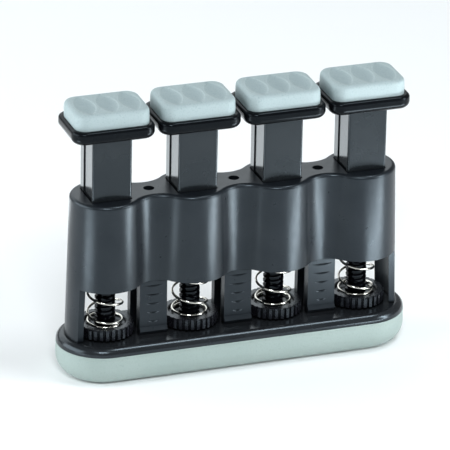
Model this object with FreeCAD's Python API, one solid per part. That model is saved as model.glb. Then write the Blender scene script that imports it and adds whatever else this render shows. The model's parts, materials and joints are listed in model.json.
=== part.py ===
import FreeCAD, Part
import math
import os

# Four-finger exerciser: sprung square plungers in a lobed housing on a padded palm base.
# Millimetres. X runs along the row of fingers, Y from front to back, Z up.
# The origin is the centre of the underside of the base cushion.

Vec = FreeCAD.Vector

# --- finger row ---
PITCH = 24.0
FINGER_X = [-36.0, -12.0, 12.0, 36.0]
VALLEY_X = [-24.0, 0.0, 24.0]

# --- base: soft cushion under a hard plate, both with round ends ---
CUSHION_HALF_LENGTH = 49.3
CUSHION_HALF_DEPTH = 12.5
CUSHION_HEIGHT = 9.0
CUSHION_BOTTOM_ROUND = 5.5
POCKET_FLOOR_Z = 5.4
PLATE_TOP_Z = 11.4
PLATE_MARGIN = 0.1
PLATE_EDGE_ROUND = 2.0
TONGUE_MARGIN = 4.2
POCKET_GAP = 0.1

# --- threaded posts ---
POST_RADIUS = 2.8
POST_CORE_RADIUS = 2.3
THREAD_LEAD = 1.4
THREAD_ROOT_SHARE = 0.42
THREAD_CREST_SHARE = 0.17
POST_TOP_Z = 39.4
POST_FOOT_WIDTH = 7.0
POST_FOOT_TOP_Z = 8.5

# --- tension wheels ---
WHEEL_RADIUS = 7.8
WHEEL_BOTTOM_Z = 11.5
WHEEL_TOP_Z = 14.7
WHEEL_BORE_RADIUS = 2.87
RECESS_RADIUS = 5.65
SEAT_Z = 13.9
TEETH = 30
TOOTH_GAP_RADIUS = 0.40
TOOTH_ROOT_RADIUS = 0.36
TOOTH_ROOT_INSET = 0.25

# --- springs ---
WIRE_RADIUS = 0.35
SPRING_MEAN_RADIUS = 4.7
SPRING_TURNS = 6.0
END_COIL_PITCH = 0.8
END_COIL_TURNS = 0.9
PITCH_CHANGE_TURNS = 0.4
SPRING_START_DEG = [316.0, 150.0, 156.0, 20.0]

# --- plungers ---
PLUNGER_WIDTH = 11.0
PLUNGER_DEPTH = 11.0
PLUNGER_CORNER = 0.6
PLUNGER_TOP_Z = 69.5
PLUNGER_BORE_RADIUS = 3.3
PLUNGER_BORE_TOP_Z = 65.5
GROOVE_FRONT_Y = -4.6
GROOVE_BACK_Y = 2.4
GROOVE_DEPTH = 0.3
FOOT_SIZE = 13.0
FOOT_CORNER = 2.4
FOOT_BOTTOM_Z = 38.4
FOOT_TOP_Z = 40.4
SPIGOT_SIZE = 6.0
SPIGOT_TOP_Z = 71.4

# --- housing ---
HOUSING_TOP_Z = 51.7
RIM_Z = 26.9
LOBE_RADIUS_LOW = 10.85
LOBE_RADIUS_TOP = 9.75
VALLEY_Y_LOW = 5.35
VALLEY_Y_TOP = 4.95
WALL = 1.35
TOP_EDGE_ROUND = 1.0
TOP_WALL = 2.4
GUIDE_GAP = 0.15
GUIDE_WALL = 1.2
GUIDE_BOTTOM_Z = 40.55
CUT_PLANE_Y = 5.45
PILLAR_WIDTH = 7.7
PILLAR_PLATE = 2.2
PILLAR_TOP_Z = 30.0
PILLAR_FOOT_Z = 12.4
PILLAR_FOOT_FLARE = 0.8
PILLAR_FOOT_HEIGHT = 1.2
BOSS_RADIUS = 2.9
TOP_RECESS_RADIUS = 1.5
TOP_RECESS_DEPTH = 1.6
GRIP_CUT_WIDTHS = [6.2, 5.2, 4.3, 3.6, 3.0]
GRIP_CUT_TOP_Z = 25.5
GRIP_CUT_PITCH = 2.6
GRIP_CUT_DEPTH = 0.35
GRIP_CUT_HEIGHT = 0.65

# --- screws from the base plate into the housing bosses ---
SCREW_RADIUS = 1.1
SCREW_HOLE_RADIUS = 1.15
SCREW_HEAD_RADIUS = 2.2
SCREW_HEAD_HEIGHT = 1.6
SCREW_TOP_Z = 23.0

# --- key trays and finger pads ---
TRAY_WIDTH = 23.0
TRAY_DEPTH = 18.0
TRAY_CORNER = 3.6
TRAY_TOP_Z = 73.3
TRAY_EDGE_ROUND = 1.8
TRAY_RIM_ROUND = 1.0
TRAY_SEAT_Z = 72.3
PAD_WIDTH = 20.8
PAD_DEPTH = 15.4
PAD_CORNER = 3.2
PAD_TOP_Z = 77.6
PAD_EDGE_ROUND = 1.4
DIMPLE_X = [-6.2, 0.0, 6.2]
DIMPLE_DEPTH = 0.6
DIMPLE_RADIUS_X = 7.5
DIMPLE_RADIUS_Y = 36.6


def box(x0, x1, y0, y1, z0, z1):
    return Part.makeBox(x1 - x0, y1 - y0, z1 - z0, Vec(x0, y0, z0))


def rod(x, y, z0, z1, radius):
    return Part.makeCylinder(radius, z1 - z0, Vec(x, y, z0))


def closed_face(edges):
    return Part.Face(Part.Wire(edges))


def round_rect(x, width, depth, corner, z):
    hx = width / 2
    hy = depth / 2
    edges = []
    corners = [(1, 1, 0), (-1, 1, 90), (-1, -1, 180), (1, -1, 270)]
    points = []
    for sx, sy, start in corners:
        cx = x + sx * (hx - corner)
        cy = sy * (hy - corner)
        arc = []
        for turn in (0, 45, 90):
            a = math.radians(start + turn)
            arc.append(Vec(cx + corner * math.cos(a), cy + corner * math.sin(a), z))
        points.append(arc)
    for i, arc in enumerate(points):
        edges.append(Part.Arc(*arc).toShape())
        after = points[(i + 1) % 4][0]
        if arc[2].distanceToPoint(after) > 1e-6:
            edges.append(Part.makeLine(arc[2], after))
    return closed_face(edges)


def block(x, width, depth, corner, z0, z1):
    return round_rect(x, width, depth, corner, z0).extrude(Vec(0, 0, z1 - z0))


def level_edges(shape, z):
    found = []
    for edge in shape.Edges:
        bounds = edge.BoundBox
        if abs(bounds.ZMin - z) < 1e-4 and abs(bounds.ZMax - z) < 1e-4:
            found.append(edge)
    return found


def pill(half_length, half_depth, z0, z1):
    return block(0, 2 * half_length, 2 * half_depth, half_depth - 1e-3, z0, z1)


def lobe_outline(lobe, valley, z):
    """Closed wire of four round lobes joined by hollow valleys on both long sides."""
    fillet = (144.0 + valley * valley - lobe * lobe) / (2 * (lobe - valley))
    centre_y = valley + fillet
    share = lobe / (lobe + fillet)
    join_dx = 12.0 * share
    join_y = centre_y * share
    edges = []
    for side in (-1, 1):
        order = FINGER_X if side < 0 else FINGER_X[::-1]
        step = -side
        for i, x in enumerate(order):
            first = i == 0
            last = i == len(order) - 1
            left = Vec(x - step * lobe, 0, z) if first else Vec(x - step * join_dx, side * join_y, z)
            right = Vec(x + step * lobe, 0, z) if last else Vec(x + step * join_dx, side * join_y, z)
            edges.append(Part.Arc(left, Vec(x, side * lobe, z), right).toShape())
            if not last:
                after = Vec(x + step * (PITCH - join_dx), side * join_y, z)
                middle = Vec(x + step * PITCH / 2, side * valley, z)
                edges.append(Part.Arc(right, middle, after).toShape())
    return Part.Wire(edges)


def lobed_solid(inset, z0, z1):
    """The drafted housing shape, all its walls moved inwards by the inset."""
    wires = []
    for z in (z0, z1):
        share = (z - PLATE_TOP_Z) / (HOUSING_TOP_Z - PLATE_TOP_Z)
        lobe = LOBE_RADIUS_LOW + share * (LOBE_RADIUS_TOP - LOBE_RADIUS_LOW) - inset
        valley = VALLEY_Y_LOW + share * (VALLEY_Y_TOP - VALLEY_Y_LOW) - inset
        wires.append(lobe_outline(lobe, valley, z))
    return Part.makeLoft(wires, True, True)


def pillar_face_y(z):
    """The legs' flat faces lean with the valleys and lie a hair inside them."""
    share = (z - PLATE_TOP_Z) / (HOUSING_TOP_Z - PLATE_TOP_Z)
    return VALLEY_Y_LOW + share * (VALLEY_Y_TOP - VALLEY_Y_LOW) - 0.06


def grip_cut(x, side, width, z):
    """A scoop-shaped nick in a flat leg face: a level ceiling over a sloping lens-shaped floor."""
    half = width / 2
    radius = (half * half + GRIP_CUT_DEPTH * GRIP_CUT_DEPTH) / (2 * GRIP_CUT_DEPTH)
    centre_y = side * (pillar_face_y(z) + radius - GRIP_CUT_DEPTH)
    scoop = Part.makeCone(radius, radius - GRIP_CUT_DEPTH - 0.05, GRIP_CUT_HEIGHT,
                          Vec(x, centre_y, z), Vec(0, 0, -1))
    window = box(x - 4, x + 4, min(side * 4, side * 7), max(side * 4, side * 7), z - 1, z + 1)
    return scoop.common(window)


def leaning_slab(x, half, side, thick, z0, z1):
    """A slab with one face on the legs' leaning face plane; negative thickness goes inwards."""
    low = side * pillar_face_y(z0)
    high = side * pillar_face_y(z1)
    corners = [Vec(x - half, low, z0), Vec(x - half, low + side * thick, z0),
               Vec(x - half, high + side * thick, z1), Vec(x - half, high, z1)]
    face = Part.Face(Part.makePolygon(corners + corners[:1]))
    return face.extrude(Vec(2 * half, 0, 0))


def pillar_foot(x, side):
    """A small wedge that flares out just above the plate, with a shadow gap under it."""
    half = PILLAR_WIDTH / 2
    y = side * (pillar_face_y(PILLAR_FOOT_Z) - 0.1)
    out = y + side * (PILLAR_FOOT_FLARE + 0.1)
    corners = [Vec(x - half, y, PILLAR_FOOT_Z), Vec(x - half, out, PILLAR_FOOT_Z),
               Vec(x - half, y, PILLAR_FOOT_Z + PILLAR_FOOT_HEIGHT)]
    face = Part.Face(Part.makePolygon(corners + corners[:1]))
    return face.extrude(Vec(PILLAR_WIDTH, 0, 0))


def make_housing():
    outer = lobed_solid(0, PLATE_TOP_Z, HOUSING_TOP_Z)
    outer = outer.makeFillet(TOP_EDGE_ROUND, level_edges(outer, HOUSING_TOP_Z))
    hollow = lobed_solid(WALL, PLATE_TOP_Z - 1, HOUSING_TOP_Z - TOP_WALL)
    body = outer.cut(hollow)
    cuts = []
    reach = LOBE_RADIUS_LOW + 1
    half_pillar = PILLAR_WIDTH / 2
    for side in (-1, 1):
        y0, y1 = sorted((side * CUT_PLANE_Y, side * reach))
        cuts.append(box(-60, 60, y0, y1, PLATE_TOP_Z - 1, RIM_Z))
        y0, y1 = sorted((side * 1.0, side * reach))
        for x in VALLEY_X:
            cuts.append(box(x - 8, x - half_pillar, y0, y1, PLATE_TOP_Z - 1, RIM_Z))
            cuts.append(box(x + half_pillar, x + 8, y0, y1, PLATE_TOP_Z - 1, RIM_Z))
            cuts.append(leaning_slab(x, 8, side, 4, PLATE_TOP_Z - 1, RIM_Z))
    body = body.cut(cuts)
    adds = []
    for x in VALLEY_X:
        adds.append(rod(x, 0, PLATE_TOP_Z, HOUSING_TOP_Z - TOP_WALL + 0.5, BOSS_RADIUS))
        adds.append(box(x - 0.7, x + 0.7, -4, 4, PLATE_TOP_Z, HOUSING_TOP_Z - 2))
        for side in (-1, 1):
            adds.append(leaning_slab(x, half_pillar, side, -PILLAR_PLATE, PLATE_TOP_Z, PILLAR_TOP_Z))
            adds.append(pillar_foot(x, side))
    sleeve_width = PLUNGER_WIDTH + 2 * (GUIDE_GAP + GUIDE_WALL)
    sleeve_depth = PLUNGER_DEPTH + 2 * (GUIDE_GAP + GUIDE_WALL)
    for x in FINGER_X:
        adds.append(block(x, sleeve_width, sleeve_depth, 1.6, GUIDE_BOTTOM_Z, HOUSING_TOP_Z - 1))
    body = body.fuse(adds)
    cuts = []
    for x in FINGER_X:
        cuts.append(block(x, PLUNGER_WIDTH + 2 * GUIDE_GAP, PLUNGER_DEPTH + 2 * GUIDE_GAP,
                          PLUNGER_CORNER, GUIDE_BOTTOM_Z - 1, HOUSING_TOP_Z + 1))
    for x in VALLEY_X:
        cuts.append(rod(x, 0, PLATE_TOP_Z - 1, SCREW_TOP_Z + 1, SCREW_HOLE_RADIUS))
        cuts.append(rod(x, 0, HOUSING_TOP_Z - TOP_RECESS_DEPTH, HOUSING_TOP_Z + 1, TOP_RECESS_RADIUS))
        for side in (-1, 1):
            for i, width in enumerate(GRIP_CUT_WIDTHS):
                cuts.append(grip_cut(x, side, width, GRIP_CUT_TOP_Z - i * GRIP_CUT_PITCH))
    return body.cut(cuts).removeSplitter()


def make_cushion():
    body = pill(CUSHION_HALF_LENGTH, CUSHION_HALF_DEPTH, 0, CUSHION_HEIGHT)
    body = body.makeFillet(CUSHION_BOTTOM_ROUND, level_edges(body, 0))
    inset = PLATE_MARGIN + TONGUE_MARGIN - POCKET_GAP
    pocket = pill(CUSHION_HALF_LENGTH - inset, CUSHION_HALF_DEPTH - inset,
                  POCKET_FLOOR_Z, CUSHION_HEIGHT + 1)
    return body.cut(pocket)


def make_base_plate():
    half_length = CUSHION_HALF_LENGTH - PLATE_MARGIN
    half_depth = CUSHION_HALF_DEPTH - PLATE_MARGIN
    body = pill(half_length, half_depth, CUSHION_HEIGHT, PLATE_TOP_Z)
    body = body.makeFillet(PLATE_EDGE_ROUND, level_edges(body, PLATE_TOP_Z))
    tongue = pill(half_length - TONGUE_MARGIN, half_depth - TONGUE_MARGIN,
                  POCKET_FLOOR_Z + POCKET_GAP, CUSHION_HEIGHT + 0.5)
    body = body.fuse(tongue)
    cuts = []
    for x in FINGER_X:
        cuts.append(rod(x, 0, 5, PLATE_TOP_Z + 1, POST_RADIUS + 0.05))
        foot = block(x, POST_FOOT_WIDTH + 0.1, POST_FOOT_WIDTH + 0.1, 1.0, 5, POST_FOOT_TOP_Z + 0.05)
        cuts.append(foot)
    for x in VALLEY_X:
        cuts.append(rod(x, 0, 5, PLATE_TOP_Z + 1, SCREW_HOLE_RADIUS + 0.1))
        head_top = POCKET_FLOOR_Z + POCKET_GAP + SCREW_HEAD_HEIGHT + 0.3
        cuts.append(rod(x, 0, 5, head_top, SCREW_HEAD_RADIUS + 0.15))
    return body.cut(cuts).removeSplitter()


def make_screws():
    head_bottom = POCKET_FLOOR_Z + POCKET_GAP + 0.3
    screws = []
    for x in VALLEY_X:
        head = rod(x, 0, head_bottom, head_bottom + SCREW_HEAD_HEIGHT, SCREW_HEAD_RADIUS)
        head = head.fuse(rod(x, 0, head_bottom + 1, SCREW_TOP_Z, SCREW_RADIUS))
        slot_a = box(x - 1.3, x + 1.3, -0.25, 0.25, head_bottom - 1, head_bottom + 0.8)
        slot_b = box(x - 0.25, x + 0.25, -1.3, 1.3, head_bottom - 1, head_bottom + 0.8)
        screws.append(head.cut([slot_a, slot_b]))
    return Part.makeCompound(screws)


def helix_sweep(points, profile):
    curve = Part.BSplineCurve()
    curve.interpolate(points)
    path = Part.Wire(curve.toShape())
    return path.makePipeShell([profile], True, True)


def make_post(x):
    bottom = PLATE_TOP_Z - 0.6
    core = rod(x, 0, POST_FOOT_TOP_Z - 0.5, POST_TOP_Z, POST_CORE_RADIUS)
    shank = rod(x, 0, POST_FOOT_TOP_Z - 0.5, bottom, POST_RADIUS)
    foot = block(x, POST_FOOT_WIDTH, POST_FOOT_WIDTH, 1.0, POCKET_FLOOR_Z + POCKET_GAP, POST_FOOT_TOP_Z)
    turns_high = POST_TOP_Z - 1.4 - bottom
    helix = Part.makeHelix(THREAD_LEAD, turns_high, POST_CORE_RADIUS)
    root = THREAD_LEAD * THREAD_ROOT_SHARE
    crest = THREAD_LEAD * THREAD_CREST_SHARE
    inside = POST_CORE_RADIUS - 0.15
    corners = [Vec(inside, 0, -root), Vec(POST_RADIUS, 0, -crest),
               Vec(POST_RADIUS, 0, crest), Vec(inside, 0, root)]
    profile = Part.makePolygon(corners + corners[:1])
    ridge = Part.Wire(helix.Edges).makePipeShell([profile], True, True)
    ridge.translate(Vec(x, 0, bottom + 0.3))
    tip = Part.makeCone(POST_CORE_RADIUS, POST_CORE_RADIUS - 0.6, 0.6, Vec(x, 0, POST_TOP_Z))
    return core.fuse([shank, foot, tip, ridge])


def make_wheel(x):
    body = rod(x, 0, WHEEL_BOTTOM_Z, WHEEL_TOP_Z, WHEEL_RADIUS)
    body = body.makeChamfer(0.35, level_edges(body, WHEEL_TOP_Z) + level_edges(body, WHEEL_BOTTOM_Z))
    cuts = [rod(x, 0, WHEEL_BOTTOM_Z - 1, WHEEL_TOP_Z + 1, WHEEL_BORE_RADIUS)]
    recess = rod(x, 0, SEAT_Z, WHEEL_TOP_Z, RECESS_RADIUS)
    lead_in = Part.makeCone(RECESS_RADIUS, RECESS_RADIUS + 0.25, 0.25, Vec(x, 0, WHEEL_TOP_Z - 0.25))
    cuts.append(recess.fuse(lead_in))
    for i in range(TEETH):
        a = 2 * math.pi * i / TEETH
        gap = []
        for ring, radius in ((WHEEL_RADIUS + 0.02, TOOTH_GAP_RADIUS),
                             (WHEEL_RADIUS - TOOTH_ROOT_INSET, TOOTH_ROOT_RADIUS)):
            gap.append(rod(x + ring * math.cos(a), ring * math.sin(a),
                           WHEEL_BOTTOM_Z - 1, WHEEL_TOP_Z + 1, radius))
        cuts.append(gap[0].fuse(gap[1]))
    return body.cut(cuts)


def spring_rise(turn, active_pitch):
    """Height of the wire's centre above the seated end: a closed coil that opens smoothly."""
    rise = END_COIL_PITCH * min(turn, END_COIL_TURNS)
    if turn > END_COIL_TURNS:
        part = min(turn - END_COIL_TURNS, PITCH_CHANGE_TURNS)
        gain = (active_pitch - END_COIL_PITCH) / PITCH_CHANGE_TURNS
        rise += END_COIL_PITCH * part + gain * part * part / 2
    if turn > END_COIL_TURNS + PITCH_CHANGE_TURNS:
        rise += active_pitch * (turn - END_COIL_TURNS - PITCH_CHANGE_TURNS)
    return rise


def make_spring(x, start_deg):
    """A left-hand compression spring, closed at both ends and the same upside down."""
    low = SEAT_Z + WIRE_RADIUS
    high = FOOT_BOTTOM_Z - WIRE_RADIUS
    half_turns = SPRING_TURNS / 2
    slow = spring_rise(END_COIL_TURNS, 0) + END_COIL_PITCH * PITCH_CHANGE_TURNS / 2
    fast_turns = half_turns - END_COIL_TURNS - PITCH_CHANGE_TURNS / 2
    active_pitch = ((high - low) / 2 - slow) / fast_turns
    steps = int(SPRING_TURNS * 16)
    points = []
    for i in range(steps + 1):
        turn = SPRING_TURNS * i / steps
        if turn <= half_turns:
            z = low + spring_rise(turn, active_pitch)
        else:
            z = high - spring_rise(SPRING_TURNS - turn, active_pitch)
        a = math.radians(start_deg) - 2 * math.pi * turn
        points.append(Vec(x + SPRING_MEAN_RADIUS * math.cos(a), SPRING_MEAN_RADIUS * math.sin(a), z))
    heading = points[1].sub(points[0])
    ring = Part.makeCircle(WIRE_RADIUS, points[0], heading)
    return helix_sweep(points, Part.Wire(ring))


def make_plunger(x):
    body = block(x, PLUNGER_WIDTH, PLUNGER_DEPTH, PLUNGER_CORNER, FOOT_BOTTOM_Z, PLUNGER_TOP_Z)
    foot = block(x, FOOT_SIZE, FOOT_SIZE, FOOT_CORNER, FOOT_BOTTOM_Z, FOOT_TOP_Z)
    spigot = block(x, SPIGOT_SIZE, SPIGOT_SIZE, 0.8, PLUNGER_TOP_Z - 1, SPIGOT_TOP_Z)
    cuts = [rod(x, 0, FOOT_BOTTOM_Z - 1, PLUNGER_BORE_TOP_Z, PLUNGER_BORE_RADIUS)]
    for side in (-1, 1):
        x0, x1 = sorted((x + side * (PLUNGER_WIDTH / 2 - GROOVE_DEPTH), x + side * (PLUNGER_WIDTH / 2 + 1)))
        cuts.append(box(x0, x1, GROOVE_FRONT_Y, GROOVE_BACK_Y, FOOT_TOP_Z + 1, PLUNGER_TOP_Z + 1))
    body = body.cut(cuts)
    return body.fuse([foot.cut(cuts[0]), spigot]).removeSplitter()


def make_tray(x):
    body = block(x, TRAY_WIDTH, TRAY_DEPTH, TRAY_CORNER, PLUNGER_TOP_Z, TRAY_TOP_Z)
    body = body.makeFillet(TRAY_EDGE_ROUND, level_edges(body, PLUNGER_TOP_Z))
    body = body.makeFillet(TRAY_RIM_ROUND, level_edges(body, TRAY_TOP_Z))
    seat = block(x, PAD_WIDTH + 0.1, PAD_DEPTH + 0.1, PAD_CORNER, TRAY_SEAT_Z, TRAY_TOP_Z + 1)
    socket = block(x, SPIGOT_SIZE + 0.04, SPIGOT_SIZE + 0.04, 0.8, PLUNGER_TOP_Z - 1, SPIGOT_TOP_Z + 0.1)
    return body.cut([seat, socket])


def make_pad(x):
    body = block(x, PAD_WIDTH, PAD_DEPTH, PAD_CORNER, TRAY_SEAT_Z, PAD_TOP_Z)
    body = body.makeFillet(PAD_EDGE_ROUND, level_edges(body, PAD_TOP_Z))
    cuts = []
    for dx in DIMPLE_X:
        ball = Part.makeSphere(1.0)
        stretch = FreeCAD.Matrix()
        stretch.scale(DIMPLE_RADIUS_X, DIMPLE_RADIUS_Y, DIMPLE_RADIUS_X)
        dish = ball.transformGeometry(stretch)
        dish.translate(Vec(x + dx, 0, PAD_TOP_Z + DIMPLE_RADIUS_X - DIMPLE_DEPTH))
        cuts.append(dish)
    return body.cut(cuts)


def save(shape, node):
    shape.exportStep("parts/" + node + ".step")
    bounds = shape.BoundBox
    low = (round(bounds.XMin, 2), round(bounds.YMin, 2), round(bounds.ZMin, 2))
    high = (round(bounds.XMax, 2), round(bounds.YMax, 2), round(bounds.ZMax, 2))
    print(node, len(shape.Solids), shape.isValid(), round(shape.Volume, 1), low, high)


os.makedirs("parts", exist_ok=True)
save(make_cushion(), "base_cushion")
save(make_base_plate(), "base_plate")
save(make_housing(), "housing")
save(make_screws(), "housing_screws")
for index, finger_x in enumerate(FINGER_X):
    number = str(index + 1)
    save(make_post(finger_x), "threaded_post_" + number)
    save(make_wheel(finger_x), "tension_wheel_" + number)
    save(make_spring(finger_x, SPRING_START_DEG[index]), "spring_" + number)
    save(make_plunger(finger_x), "plunger_" + number)
    save(make_tray(finger_x), "key_tray_" + number)
    save(make_pad(finger_x), "finger_pad_" + number)
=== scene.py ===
import json
import math

import bpy
from mathutils import Matrix, Vector


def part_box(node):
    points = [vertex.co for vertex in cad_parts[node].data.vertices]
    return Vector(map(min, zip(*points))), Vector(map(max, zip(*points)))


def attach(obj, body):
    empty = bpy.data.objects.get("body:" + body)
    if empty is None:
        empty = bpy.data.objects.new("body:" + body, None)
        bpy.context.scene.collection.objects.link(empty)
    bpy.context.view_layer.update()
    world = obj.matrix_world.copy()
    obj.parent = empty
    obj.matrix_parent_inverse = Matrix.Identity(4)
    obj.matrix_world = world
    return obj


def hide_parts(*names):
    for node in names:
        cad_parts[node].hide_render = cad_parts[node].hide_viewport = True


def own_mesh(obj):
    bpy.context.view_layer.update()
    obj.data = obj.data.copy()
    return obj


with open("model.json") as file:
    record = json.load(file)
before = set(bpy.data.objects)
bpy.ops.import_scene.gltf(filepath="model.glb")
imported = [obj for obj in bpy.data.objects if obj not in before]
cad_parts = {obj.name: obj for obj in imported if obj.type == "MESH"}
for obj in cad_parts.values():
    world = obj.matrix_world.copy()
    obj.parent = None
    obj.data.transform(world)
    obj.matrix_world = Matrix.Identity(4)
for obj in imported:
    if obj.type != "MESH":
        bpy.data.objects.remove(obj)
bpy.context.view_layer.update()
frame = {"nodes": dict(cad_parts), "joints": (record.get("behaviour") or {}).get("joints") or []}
nodes = frame["nodes"]
joints = {joint["name"]: joint for joint in frame["joints"]}
FINGERS = (1, 2, 3, 4)


# ---------------------------------------------------------------- shader helpers
# The part of a noise's range that most of its values fall in.
NOISE_LOW = 0.3
NOISE_HIGH = 0.7


def new_material(name):
    mat = bpy.data.materials.new(name)
    mat.use_nodes = True
    tree = mat.node_tree
    shader = tree.nodes["Principled BSDF"]
    coord = tree.nodes.new("ShaderNodeTexCoord")
    return mat, tree, shader, coord.outputs["Object"]


def feed(tree, value, socket):
    """Link an output to the socket, or set a plain colour or number on it."""
    if isinstance(value, bpy.types.NodeSocket):
        tree.links.new(value, socket)
    elif isinstance(value, tuple):
        socket.default_value = (*value, 1)
    else:
        socket.default_value = value


def noise(tree, coord, scale, detail=3.0, rough=0.5):
    node = tree.nodes.new("ShaderNodeTexNoise")
    node.inputs["Scale"].default_value = scale
    node.inputs["Detail"].default_value = detail
    node.inputs["Roughness"].default_value = rough
    tree.links.new(coord, node.inputs["Vector"])
    return node.outputs["Fac"]


def ramp(tree, fac, low, high, low_colour, high_colour):
    node = tree.nodes.new("ShaderNodeValToRGB")
    node.color_ramp.elements[0].position = low
    node.color_ramp.elements[1].position = high
    node.color_ramp.elements[0].color = (*low_colour, 1)
    node.color_ramp.elements[1].color = (*high_colour, 1)
    tree.links.new(fac, node.inputs["Fac"])
    return node.outputs["Color"]


def spread(tree, fac, low, high):
    """Stretch the middle of a noise to the range from low to high."""
    node = tree.nodes.new("ShaderNodeMapRange")
    node.inputs["From Min"].default_value = NOISE_LOW
    node.inputs["From Max"].default_value = NOISE_HIGH
    node.inputs["To Min"].default_value = low
    node.inputs["To Max"].default_value = high
    tree.links.new(fac, node.inputs["Value"])
    return node.outputs["Result"]


def bump(tree, height, strength, distance):
    node = tree.nodes.new("ShaderNodeBump")
    node.inputs["Strength"].default_value = strength
    node.inputs["Distance"].default_value = distance
    tree.links.new(height, node.inputs["Height"])
    return node.outputs["Normal"]


def mix(tree, factor, first, second, blend="MIX"):
    node = tree.nodes.new("ShaderNodeMix")
    node.data_type = "RGBA"
    node.blend_type = blend
    feed(tree, factor, node.inputs["Factor"])
    feed(tree, first, node.inputs["A"])
    feed(tree, second, node.inputs["B"])
    return node.outputs["Result"]


def maths(tree, operation, first, second):
    node = tree.nodes.new("ShaderNodeMath")
    node.operation = operation
    feed(tree, first, node.inputs[0])
    feed(tree, second, node.inputs[1])
    return node.outputs[0]


def point_value(tree, name):
    """A value stored on the points of the mesh, or 0 where the mesh has none of that name."""
    node = tree.nodes.new("ShaderNodeAttribute")
    node.attribute_name = name
    return node.outputs["Fac"]


# ---------------------------------------------------------------- materials
# Noise scales, in waves per metre.
PLASTIC_CLOUD = 90
PLASTIC_SCUFF = 420
RUBBER_CLOUD = 60
RUBBER_SPECK = 2600
RUBBER_DULL = 500
RUBBER_SKIN = 1900
STEEL_DRAWN = 900
STEEL_DULL = 500
STEEL_SKIN = 3000
# Depths, in metres.
RUBBER_SKIN_DEPTH = 0.00006
STEEL_SKIN_DEPTH = 0.00002
# Painted shade in grooves and corners: how far it reaches, in metres, and the near-black colour it darkens
# to.
PAINTED_SHADE_REACH = 0.0007
PAINTED_SHADE_BLACK = (0.0005, 0.0005, 0.0006)
GLOSS_TINT = (0.76, 0.90, 1.0)
# Painted shade in the pads' hollows and a painted highlight along their rims, as colour factors.
PAINTED_HOLLOW_SHADE = (0.83, 0.85, 0.86)
PAINTED_RIM_HIGHLIGHT = (1.30, 1.27, 1.26)


def plastic(name, dark, light, rough, grain, specular, painted_shade_power=2.0):
    """Moulded black plastic: a fine grain, uneven gloss, and painted shade that makes grooves and corners
    dark and dull.
    """
    mat, tree, shader, coord = new_material(name)
    # Painted shade: ambient occlusion darkens the colour and dims the gloss in grooves and corners.
    groove = tree.nodes.new("ShaderNodeAmbientOcclusion")
    groove.inputs["Distance"].default_value = PAINTED_SHADE_REACH
    groove.samples = 8
    openness = maths(tree, "POWER", groove.outputs["AO"], painted_shade_power)
    cloud = noise(tree, coord, PLASTIC_CLOUD, detail=4)
    cloud = ramp(tree, cloud, low=0.35, high=0.65, low_colour=dark, high_colour=light)
    feed(tree, mix(tree, openness, PAINTED_SHADE_BLACK, cloud), shader.inputs["Base Color"])
    scuff = noise(tree, coord, PLASTIC_SCUFF, detail=5, rough=0.6)
    feed(tree, spread(tree, scuff, *rough), shader.inputs["Roughness"])
    grain_scale, grain_depth = grain
    fine = noise(tree, coord, grain_scale, detail=2, rough=0.6)
    feed(tree, bump(tree, fine, strength=0.5, distance=grain_depth), shader.inputs["Normal"])
    feed(tree, maths(tree, "MULTIPLY", openness, specular), shader.inputs["Specular IOR Level"])
    feed(tree, GLOSS_TINT, shader.inputs["Specular Tint"])
    return mat


def rubber(name, dark, light, speck, rough):
    """Matt rubber with small dark specks. Painted shade darkens the pads' hollows and a painted highlight
    lightens their rims.
    """
    mat, tree, shader, coord = new_material(name)
    cloud = ramp(tree, noise(tree, coord, RUBBER_CLOUD), NOISE_LOW, NOISE_HIGH, dark, light)
    specks = noise(tree, coord, RUBBER_SPECK, detail=2, rough=0.7)
    specks = ramp(tree, specks, low=0.30, high=0.46, low_colour=(1, 1, 1), high_colour=(0, 0, 0))
    colour = mix(tree, specks, cloud, speck)
    # Painted shade in the hollows, then a painted highlight on their rims.
    colour = mix(tree, point_value(tree, "hollow"), colour, PAINTED_HOLLOW_SHADE, "MULTIPLY")
    colour = mix(tree, point_value(tree, "hollow_rim_highlight"), colour, PAINTED_RIM_HIGHLIGHT, "MULTIPLY")
    feed(tree, colour, shader.inputs["Base Color"])
    feed(tree, spread(tree, noise(tree, coord, RUBBER_DULL), *rough), shader.inputs["Roughness"])
    skin = noise(tree, coord, RUBBER_SKIN, rough=0.6)
    feed(tree, bump(tree, skin, strength=0.35, distance=RUBBER_SKIN_DEPTH), shader.inputs["Normal"])
    feed(tree, 0.35, shader.inputs["Specular IOR Level"])
    return mat


def steel(name, dark, light, rough):
    mat, tree, shader, coord = new_material(name)
    drawn = ramp(tree, noise(tree, coord, STEEL_DRAWN), NOISE_LOW, NOISE_HIGH, dark, light)
    feed(tree, drawn, shader.inputs["Base Color"])
    feed(tree, spread(tree, noise(tree, coord, STEEL_DULL), *rough), shader.inputs["Roughness"])
    skin = noise(tree, coord, STEEL_SKIN, detail=2)
    feed(tree, bump(tree, skin, strength=0.15, distance=STEEL_SKIN_DEPTH), shader.inputs["Normal"])
    feed(tree, 1.0, shader.inputs["Metallic"])
    return mat


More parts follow.
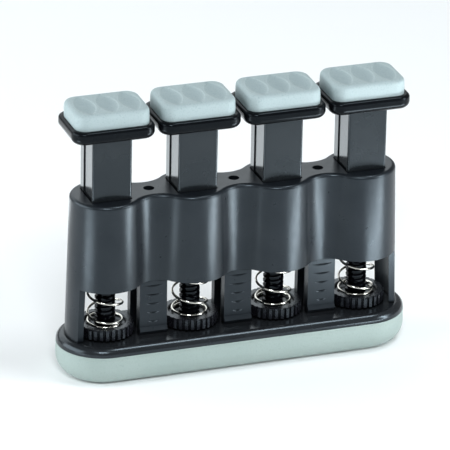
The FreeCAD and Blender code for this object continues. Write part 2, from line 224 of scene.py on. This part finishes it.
# rough is the lowest and the highest roughness, and grain is the scale and the depth of the grain.
MATERIALS = {
    "housing": plastic(
        "housing_satin_black", dark=(0.006, 0.0075, 0.010), light=(0.011, 0.013, 0.016),
        rough=(0.27, 0.33), grain=(5200, 0.000008), specular=0.42),
    "plate": plastic(
        "base_plate_satin_black", dark=(0.008, 0.009, 0.0105), light=(0.013, 0.014, 0.016),
        rough=(0.18, 0.24), grain=(5200, 0.00001), specular=0.5),
    "plunger": plastic(
        "plunger_satin_black", dark=(0.008, 0.0095, 0.011), light=(0.013, 0.0145, 0.016),
        rough=(0.16, 0.20), grain=(5200, 0.000004), specular=0.46, painted_shade_power=0.35),
    "tray": plastic(
        "tray_semi_gloss_black", dark=(0.0015, 0.0018, 0.0026), light=(0.003, 0.0035, 0.0045),
        rough=(0.18, 0.24), grain=(5200, 0.000003), specular=0.13),
    "wheel": plastic(
        "wheel_satin_black", dark=(0.005, 0.005, 0.007), light=(0.010, 0.0095, 0.013),
        rough=(0.20, 0.32), grain=(3600, 0.00005), specular=0.56),
    "post": plastic(
        "post_gloss_black", dark=(0.001, 0.001, 0.002), light=(0.003, 0.003, 0.004),
        rough=(0.06, 0.11), grain=(5200, 0.000003), specular=0.26),
    "cushion": rubber(
        "cushion_grey_rubber", dark=(0.302, 0.374, 0.352), light=(0.338, 0.410, 0.388),
        speck=(0.284, 0.352, 0.332), rough=(0.40, 0.54)),
    "pad": rubber(
        "pad_grey_rubber", dark=(0.325, 0.395, 0.405), light=(0.36, 0.435, 0.445),
        speck=(0.27, 0.335, 0.345), rough=(0.54, 0.68)),
    "spring": steel(
        "spring_bright_wire", dark=(0.62, 0.60, 0.55), light=(0.86, 0.84, 0.78), rough=(0.08, 0.18)),
    "screw": steel(
        "screw_plain_steel", dark=(0.45, 0.45, 0.45), light=(0.62, 0.62, 0.62), rough=(0.25, 0.4)),
}


def paint(node, key):
    mesh = nodes[node].data
    mesh.materials.clear()
    mesh.materials.append(MATERIALS[key])


paint("housing", "housing")
paint("base_plate", "plate")
paint("housing_screws", "screw")
for n in FINGERS:
    paint(f"threaded_post_{n}", "post")
    paint(f"tension_wheel_{n}", "wheel")
    paint(f"plunger_{n}", "plunger")
    paint(f"key_tray_{n}", "tray")


# ---------------------------------------------------------------- modelled pieces
# The pieces are worked out in millimetres, from the boxes of the CAD nodes they stand for.
MM = 0.001


def box_mm(node):
    low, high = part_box(node)
    return low / MM, high / MM


def finger_x(n):
    low, high = box_mm(f"finger_pad_{n}")
    return (low.x + high.x) / 2


FINGER_X = {n: finger_x(n) for n in FINGERS}


def new_piece(name, verts, faces, key, slot, body, *replaced):
    mesh = bpy.data.meshes.new(name)
    mesh.from_pydata([(x * MM, y * MM, z * MM) for x, y, z in verts], [], faces)
    mesh.validate()
    mesh.polygons.foreach_set("use_smooth", [True] * len(mesh.polygons))
    mesh.materials.append(MATERIALS[key])
    piece = bpy.data.objects.new(name, mesh)
    bpy.context.scene.collection.objects.link(piece)
    if replaced:
        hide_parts(*replaced)
    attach(piece, body)
    return piece


def ring_faces(rings, count):
    faces = []
    for i in range(rings - 1):
        for j in range(count):
            k = (j + 1) % count
            faces.append((i * count + j, i * count + k, (i + 1) * count + k, (i + 1) * count + j))
    return faces


# The base cushion: one rubber form with a full round underside edge and a thin lip under the plate.
CUSHION_LENGTH, CUSHION_DEPTH, CUSHION_TOP = box_mm("base_cushion")[1]
CUSHION_ROUND = 5.5
# The pocket that the plate sits in: how far in its wall is, and its floor a little under the plate.
POCKET_INSET = 4.2
POCKET_GAP = 0.1
POCKET_FLOOR = box_mm("base_plate")[0].z - POCKET_GAP
# Insets from the widest outline: where the flat underside ends, and a step inside that.
CUSHION_UNDERSIDE = (CUSHION_ROUND + 0.9, CUSHION_ROUND + 0.2)
# Inset from the widest outline, and distance below the top, up the side and over the lip.
CUSHION_SIDE = ((0.02, 2.6), (0.06, 1.7), (0.10, 1.0), (0.12, 0.65))
CUSHION_LIP = ((0.08, 0.55), (0.0, 0.42), (-0.02, 0.25), (0.05, 0.1), (0.18, 0.03), (0.36, 0.0), (2.0, 0.0))


def stadium(half_length, half_depth, z, arc=40, straight=24):
    points = []
    reach = half_length - half_depth
    for side, start in ((1, -90), (-1, 90)):
        for i in range(arc):
            a = math.radians(start + 180.0 * i / arc)
            points.append((side * reach + half_depth * math.cos(a), half_depth * math.sin(a), z))
        for i in range(straight):
            x = side * reach * (1 - 2.0 * i / straight)
            points.append((x, side * half_depth, z))
    return points


def cushion_profile():
    """Inset from the widest outline, and height, from the underside up and into the pocket."""
    profile = [(inset, 0.0) for inset in CUSHION_UNDERSIDE]
    steps = 14
    for i in range(steps + 1):
        a = math.radians(90.0 * i / steps)
        profile.append((CUSHION_ROUND * (1 - math.sin(a)), CUSHION_ROUND * (1 - math.cos(a))))
    for inset, drop in CUSHION_SIDE + CUSHION_LIP:
        profile.append((inset, CUSHION_TOP - drop))
    profile += [(POCKET_INSET, CUSHION_TOP), (POCKET_INSET, POCKET_FLOOR)]
    return profile


def make_cushion():
    verts = []
    profile = cushion_profile()
    for inset, z in profile:
        verts += stadium(CUSHION_LENGTH - inset, CUSHION_DEPTH - inset, z)
    count = len(verts) // len(profile)
    faces = ring_faces(len(profile), count)
    faces.append(tuple(reversed(range(count))))
    faces.append(tuple(range(len(verts) - count, len(verts))))
    piece = new_piece("base_cushion_form", verts, faces, "cushion", "cushion_rubber",
                      "base", "base_cushion")


# The finger pads: soft blocks with rounded edges and three lens-shaped hollows side by side.
pad_low, pad_high = box_mm("finger_pad_1")
PAD_HALF_X = (pad_high.x - pad_low.x) / 2
PAD_HALF_Y = pad_high.y
PAD_LOW = pad_low.z
PAD_TOP = pad_high.z
PAD_CORNER = 3.6
PAD_ROUND = 1.15
PAD_LEAN = 0.10
LEAN_START = 0.5
# Inset from the widest outline, and height above the pad's foot.
PAD_FOOT = ((0.35, 0.0), (0.10, 0.12), (0.0, 0.30), (0.0, 0.42), (0.0, 2.0))
PAD_RINGS = 46
HOLLOW_PITCH = 6.2
HOLLOW_HALF_LENGTH = 7.0
HOLLOW_HALF_WIDTH = 3.0
HOLLOW_DEPTH = 0.38
HOLLOW_SIDE_POWER = 2.4
HOLLOW_END_POWER = 0.35
HOLLOW_SOFTNESS = 0.004
# A hollow ends where only this share of its width is left, or where its side curve falls to this.
HOLLOW_TIP = 0.001
HOLLOW_FADE = -0.5
# Points less than this far below the top belong to the top face.
TOP_FACE = 0.5
# The painted highlight along the rim of a hollow, as shares of its depth.
RIM_DEPTH = 0.16
RIM_WIDTH = 0.14


def rounded_outline(half_x, half_y, corner, z, arc=14, side=22):
    points = []
    for sx, sy, start in ((1, 1, 0), (-1, 1, 90), (-1, -1, 180), (1, -1, 270)):
        cx = sx * (half_x - corner)
        cy = sy * (half_y - corner)
        for i in range(arc):
            a = math.radians(start + 90.0 * i / arc)
            points.append((cx + corner * math.cos(a), cy + corner * math.sin(a), z))
        a = math.radians(start + 90)
        ax, ay = cx + corner * math.cos(a), cy + corner * math.sin(a)
        if sx == sy:
            bx, by = ax - 2 * sx * (half_x - corner), ay
        else:
            bx, by = ax, ay - 2 * sy * (half_y - corner)
        for i in range(side):
            t = i / side
            points.append((ax + (bx - ax) * t, ay + (by - ay) * t, z))
    return points


def hollow_depth(x, y):
    """Depth of the three lens-shaped hollows; neighbouring hollows meet at a soft ridge."""
    span = 1 - (y / HOLLOW_HALF_LENGTH) ** 2
    if span <= HOLLOW_TIP:
        return 0.0
    half = HOLLOW_HALF_WIDTH * span
    deepest = 0.0
    for k in (-1, 0, 1):
        t = 1 - abs((x - k * HOLLOW_PITCH) / half) ** HOLLOW_SIDE_POWER
        if t > HOLLOW_FADE:
            soft = 0.5 * (t + math.sqrt(t * t + HOLLOW_SOFTNESS))
            deepest = max(deepest, HOLLOW_DEPTH * soft * span ** HOLLOW_END_POWER)
    return deepest


def pad_profile():
    """Inset from the widest outline, and height, from the foot up and over the rounded top edge."""
    profile = [(inset, PAD_LOW + rise) for inset, rise in PAD_FOOT]
    profile.append((PAD_LEAN / 2, PAD_TOP - PAD_ROUND - LEAN_START))
    steps = 8
    for i in range(steps + 1):
        a = math.radians(90.0 * i / steps)
        profile.append((PAD_LEAN + PAD_ROUND * (1 - math.cos(a)), PAD_TOP - PAD_ROUND * (1 - math.sin(a))))
    return profile


def store_point_value(piece, name, values):
    attribute = piece.data.attributes.new(name, "FLOAT", "POINT")
    attribute.data.foreach_set("value", values)


def make_pad(n):
    cx = FINGER_X[n]
    verts = []
    profile = pad_profile()
    for inset, z in profile:
        verts += rounded_outline(PAD_HALF_X - inset, PAD_HALF_Y - inset, PAD_CORNER - inset, z)
    count = len(verts) // len(profile)
    top_edge = verts[-count:]
    for i in range(1, PAD_RINGS):
        t = 1 - i / PAD_RINGS
        for x, y, z in top_edge:
            verts.append((x * t, y * t, PAD_TOP - hollow_depth(x * t, y * t)))
    faces = ring_faces(len(profile) + PAD_RINGS - 1, count)
    centre = len(verts)
    verts.append((0.0, 0.0, PAD_TOP - hollow_depth(0, 0)))
    last = centre - count
    for j in range(count):
        faces.append((last + j, last + (j + 1) % count, centre))
    faces.append(tuple(reversed(range(count))))
    depth = [hollow_depth(x, y) / HOLLOW_DEPTH if z > PAD_TOP - TOP_FACE else 0.0 for x, y, z in verts]
    verts = [(x + cx, y, z) for x, y, z in verts]
    piece = new_piece(f"finger_pad_form_{n}", verts, faces, "pad", "pad_rubber",
                      f"key_{n}", f"finger_pad_{n}")
    # Masks for the painted shade in the hollows and the painted highlight on their rims.
    store_point_value(piece, "hollow", depth)
    store_point_value(piece, "hollow_rim_highlight", [max(0.0, 1 - abs(d - RIM_DEPTH) / RIM_WIDTH) for d in depth])


# The springs: a left-hand coil in two pieces that meet inside the housing. The lower piece follows
# the wheel; the upper one follows the plunger.
SEAT_Z = joints["press_1"]["deforming_nodes"][0]["fixed_end_z_m"] / MM
FOOT_Z = joints["lift_1"]["deforming_nodes"][0]["fixed_end_z_m"] / MM
# The height, inside the housing, where the two pieces meet.
SPLIT_Z = 29.95
WIRE_RADIUS = 0.35
WIRE_SIDES = 12
COIL_RADIUS = 4.7
COIL_TURNS = 6.0
STEPS_PER_TURN = 40
END_PITCH = 0.8
END_TURNS = 0.9
CHANGE_TURNS = 0.4
# The angle of each coil's lower end, in degrees.
COIL_START = {1: 316.0, 2: 150.0, 3: 156.0, 4: 20.0}


def coil_rise(turn, pitch):
    """Height gained after some turns: a close end coil, a short change of pitch, then open coils."""
    rise = END_PITCH * min(turn, END_TURNS)
    if turn > END_TURNS:
        part = min(turn - END_TURNS, CHANGE_TURNS)
        rise += END_PITCH * part + (pitch - END_PITCH) / CHANGE_TURNS * part * part / 2
    if turn > END_TURNS + CHANGE_TURNS:
        rise += pitch * (turn - END_TURNS - CHANGE_TURNS)
    return rise


def coil_path(n):
    low = SEAT_Z + WIRE_RADIUS
    high = FOOT_Z - WIRE_RADIUS
    half = COIL_TURNS / 2
    slow = END_PITCH * END_TURNS + END_PITCH * CHANGE_TURNS / 2
    pitch = ((high - low) / 2 - slow) / (half - END_TURNS - CHANGE_TURNS / 2)
    steps = int(COIL_TURNS * STEPS_PER_TURN)
    path = []
    for i in range(steps + 1):
        turn = COIL_TURNS * i / steps
        if turn <= half:
            z = low + coil_rise(turn, pitch)
        else:
            z = high - coil_rise(COIL_TURNS - turn, pitch)
        a = math.radians(COIL_START[n]) - 2 * math.pi * turn
        path.append(Vector((FINGER_X[n] + COIL_RADIUS * math.cos(a), COIL_RADIUS * math.sin(a), z)))
    return path


def wire_mesh(path, cx):
    verts = []
    for i, p in enumerate(path):
        ahead = path[min(i + 1, len(path) - 1)]
        behind = path[max(i - 1, 0)]
        along = (ahead - behind).normalized()
        out = Vector((p.x - cx, p.y, 0)).normalized()
        rise = along.cross(out).normalized()
        out = rise.cross(along).normalized()
        for k in range(WIRE_SIDES):
            a = 2 * math.pi * k / WIRE_SIDES
            q = p + (out * math.cos(a) + rise * math.sin(a)) * WIRE_RADIUS
            verts.append((q.x, q.y, q.z))
    faces = ring_faces(len(path), WIRE_SIDES)
    faces.append(tuple(reversed(range(WIRE_SIDES))))
    faces.append(tuple(range(len(verts) - WIRE_SIDES, len(verts))))
    return verts, faces


def make_spring(n):
    path = coil_path(n)
    cx = FINGER_X[n]
    lower = [p for p in path if p.z <= SPLIT_Z]
    upper = [p for p in path if p.z > SPLIT_Z]
    upper.insert(0, lower[-1].copy())
    verts, faces = wire_mesh(lower, cx)
    piece = new_piece(f"spring_{n}_lower_coils", verts, faces, "spring", "spring_steel",
                      f"seat_{n}", f"spring_{n}")
    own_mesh(piece)
    verts, faces = wire_mesh(upper, cx)
    piece = new_piece(f"spring_{n}_upper_coils", verts, faces, "spring", "spring_steel", f"key_{n}")
    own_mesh(piece)


make_cushion()
for n in FINGERS:
    make_pad(n)
    make_spring(n)


# ---------------------------------------------------------------- floor and light, in metres and watts
COOL = (0.91, 0.97, 1.0)
WORLD_COLOUR = (0.96, 0.985, 1.0)
WORLD_STRENGTH = 0.25
FLOOR_COLOUR = (0.92, 0.92, 0.92)
FLOOR_SIZE = 6

# Soft boxes round the object: name, place, the point it faces, size, power.
SOFT_BOXES = (
    ("left_box", (-0.75, 0.10, 0.30), (0, 0, 0.03), (0.9, 0.55), 6),
    ("back_box", (-0.1, 0.80, 0.46), (0, 0, 0.04), (1.2, 0.5), 2.4),
    ("top_box", (0.31, -0.19, 0.97), (0, 0, 0.04), (0.34, 0.18), 2.5),
    ("front_box", (-0.25, -0.85, 0.85), (0, 0, 0.04), (0.34, 0.18), 6.0),
    ("front_right_box", (0.75, -0.55, 0.45), (0, 0, 0.03), (0.5, 0.4), 2.5),
    ("right_strip", (0.27, -0.19, 0.11), (0, 0, 0.04), (0.05, 0.20), 0.45),
)

# Low glowing panels beside the object, mirrored by its glossy flanks: name, place, size, power.
FLOOR_PANELS = (
    ("right_panel", (0.096, -0.073), (0.098, 0.029), 0.185),
    ("left_panel", (-0.135, -0.042), (0.055, 0.045), 0.07),
    ("back_panel", (-0.055, 0.130), (0.11, 0.05), 0.025),
)
PANEL_HEIGHT = 0.001


def make_floor():
    bpy.ops.mesh.primitive_plane_add(size=FLOOR_SIZE, location=(0, 0, 0))
    floor = bpy.context.object
    floor.name = "floor"
    mat, tree, shader = new_material("pale_floor")[:3]
    feed(tree, FLOOR_COLOUR, shader.inputs["Base Color"])
    feed(tree, 0.95, shader.inputs["Roughness"])
    feed(tree, 0.1, shader.inputs["Specular IOR Level"])
    floor.data.materials.append(mat)


def make_world():
    world = bpy.data.worlds.new("studio")
    world.use_nodes = True
    sky = world.node_tree.nodes["Background"]
    sky.inputs["Color"].default_value = (*WORLD_COLOUR, 1)
    sky.inputs["Strength"].default_value = WORLD_STRENGTH
    bpy.context.scene.world = world
    bpy.context.scene.view_settings.view_transform = "Standard"


def area_lamp(name, place, size, power):
    data = bpy.data.lights.new(name, "AREA")
    data.shape = "RECTANGLE"
    data.size = size[0]
    data.size_y = size[1]
    data.energy = power
    data.color = COOL
    lamp = bpy.data.objects.new(name, data)
    bpy.context.scene.collection.objects.link(lamp)
    lamp.location = place
    return lamp


def soft_box(name, place, target, size, power):
    lamp = area_lamp(name, place, size, power)
    lamp.rotation_mode = "QUATERNION"
    lamp.rotation_quaternion = (Vector(target) - Vector(place)).to_track_quat("-Z", "Y")


def floor_panel(name, place, size, power):
    """Faces straight up from just above the floor, out of the camera's sight."""
    lamp = area_lamp(name, (*place, PANEL_HEIGHT), size, power)
    lamp.rotation_euler = (math.pi, 0, 0)
    lamp.visible_camera = False


# ---------------------------------------------------------------- camera
# Angles are in degrees, places in metres, the focal length and the sensor in millimetres.
AZIMUTH = -19.70
ELEVATION = 23.84
ROLL = 1.16
DISTANCE = 1.3
FOCAL_LENGTH = 386.8
SENSOR = 36
AIM = Vector((0, 0, 0.0414))
AIM_RIGHT = 0.0021436
AIM_UP = 0.0032690


def make_camera():
    """AIM shows AIM_RIGHT to the right of the middle of the view and AIM_UP above it."""
    a = math.radians(AZIMUTH)
    e = math.radians(ELEVATION)
    r = math.radians(ROLL)
    back = Vector((math.sin(a) * math.cos(e), -math.cos(a) * math.cos(e), math.sin(e)))
    level = Vector((math.cos(a), math.sin(a), 0))
    rise = back.cross(level)
    right = level * math.cos(r) + rise * math.sin(r)
    up = rise * math.cos(r) - level * math.sin(r)
    centre = AIM - right * AIM_RIGHT - up * AIM_UP
    data = bpy.data.cameras.new("camera")
    data.lens = FOCAL_LENGTH
    data.sensor_width = SENSOR
    data.clip_start = 0.1
    data.clip_end = 20
    camera = bpy.data.objects.new("camera", data)
    bpy.context.scene.collection.objects.link(camera)
    turn = Matrix((right, up, back)).transposed().to_4x4()
    camera.matrix_world = Matrix.Translation(centre + back * DISTANCE) @ turn
    bpy.context.scene.camera = camera


make_floor()
make_world()
for row in SOFT_BOXES:
    soft_box(*row)
for row in FLOOR_PANELS:
    floor_panel(*row)
make_camera()
